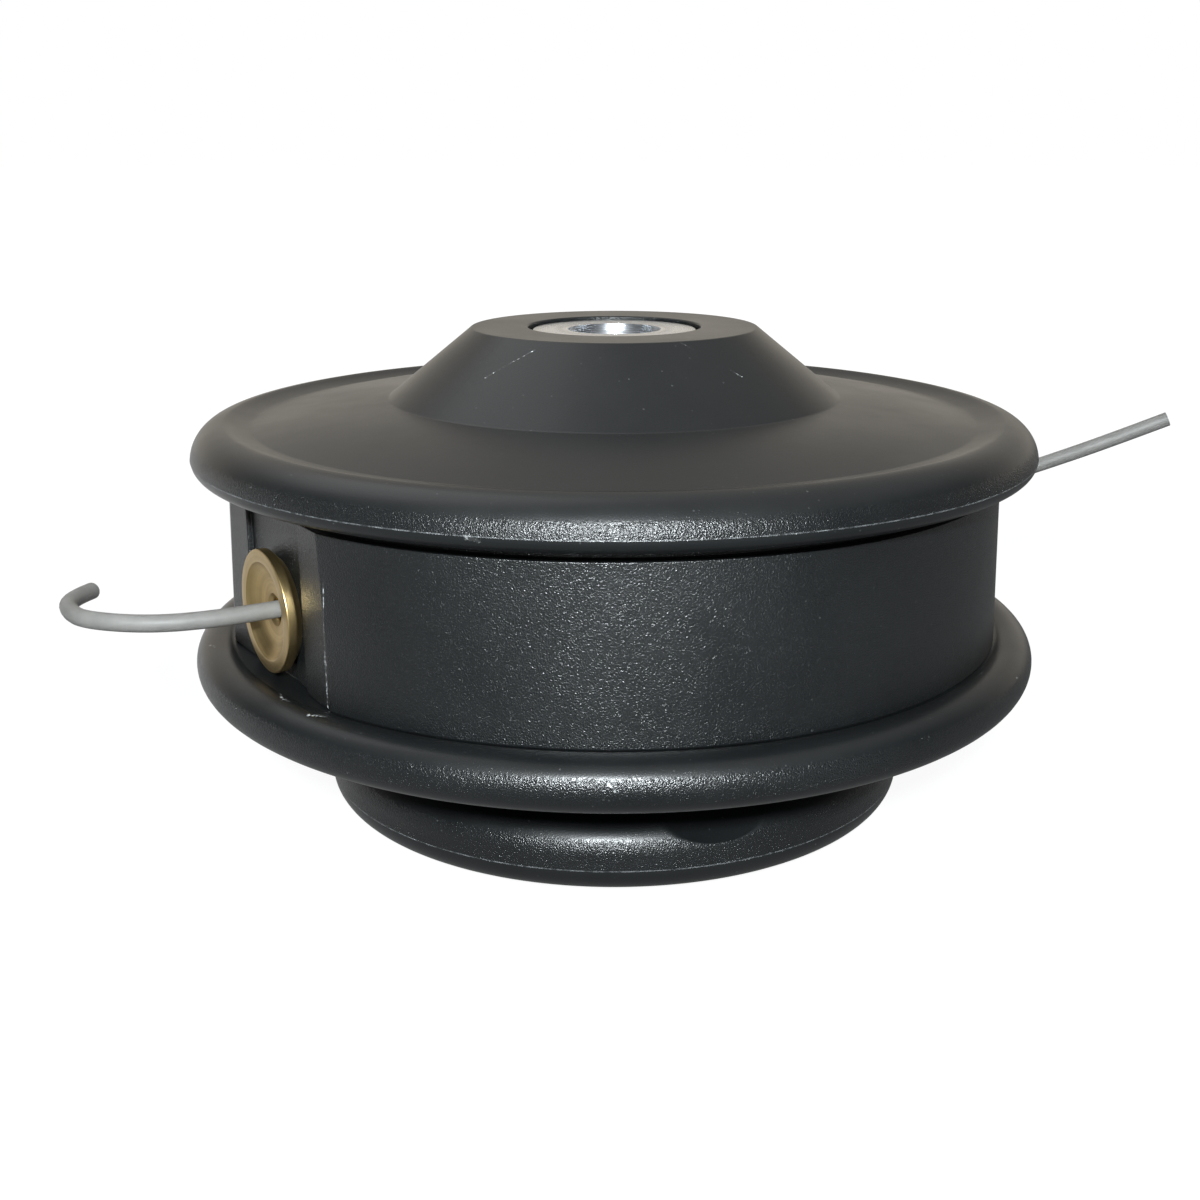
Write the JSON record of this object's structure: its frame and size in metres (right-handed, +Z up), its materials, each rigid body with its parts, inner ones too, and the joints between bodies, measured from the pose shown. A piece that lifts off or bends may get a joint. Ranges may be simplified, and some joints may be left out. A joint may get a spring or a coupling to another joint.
{
  "type": "trimmer head",
  "caption": "Tap-feed head for a grass trimmer: wide flanged housing with eyelets, spool of line, tap knob and threaded insert.",
  "frame": {"origin": "on the head's axis, on the ground under the tap knob", "axes": "+Z up along the head's axis towards the arbor thread; -Y is the side facing the viewer in the picture, +X its right"},
  "size_m": [0.1787, 0.1328, 0.0747],
  "materials": {
    "housing_plastic": "moulded black nylon, satin with a fine grain",
    "knob_plastic": "moulded black nylon, worn satin",
    "spool_plastic": "moulded nylon",
    "aluminium": "turned and polished",
    "brass": "turned, satin",
    "spring_steel": "plain",
    "zinc_steel": "zinc plated",
    "nylon_line": "extruded, slightly milky"
  },
  "bodies": {
    "head": {"upper_housing": "housing_plastic", "arbor_insert": "aluminium", "insert_retaining_ring": "spring_steel", "spring_top_washer": "spring_steel", "spring": "spring_steel", "eyelet_left": "brass", "eyelet_right": "brass", "lower_cover": "housing_plastic", "cover_screws": "zinc_steel", "line_end_left": "nylon_line", "line_end_right": "nylon_line"},
    "press_carrier": {"spring_seat": "spring_steel"},
    "spool_and_knob": {"spool": "spool_plastic", "winding_lower": "nylon_line", "winding_upper": "nylon_line", "tap_knob": "knob_plastic", "knob_bolt": "zinc_steel", "knob_washer": "zinc_steel", "hub_nut": "zinc_steel"}
  },
  "joints": [
    {"name": "knob_press", "type": "slide", "parent": "head", "child": "press_carrier", "axis": [0, 0, 1], "range_m": [0, 0.005], "stiffness_N_per_m": 4000, "springref_m": -0.012, "deforming": ["spring"]},
    {"name": "spool_turn", "type": "hinge", "parent": "press_carrier", "child": "spool_and_knob", "pos_m": [0, 0, 0], "axis": [0, 0, 1], "continuous": true}
  ]
}
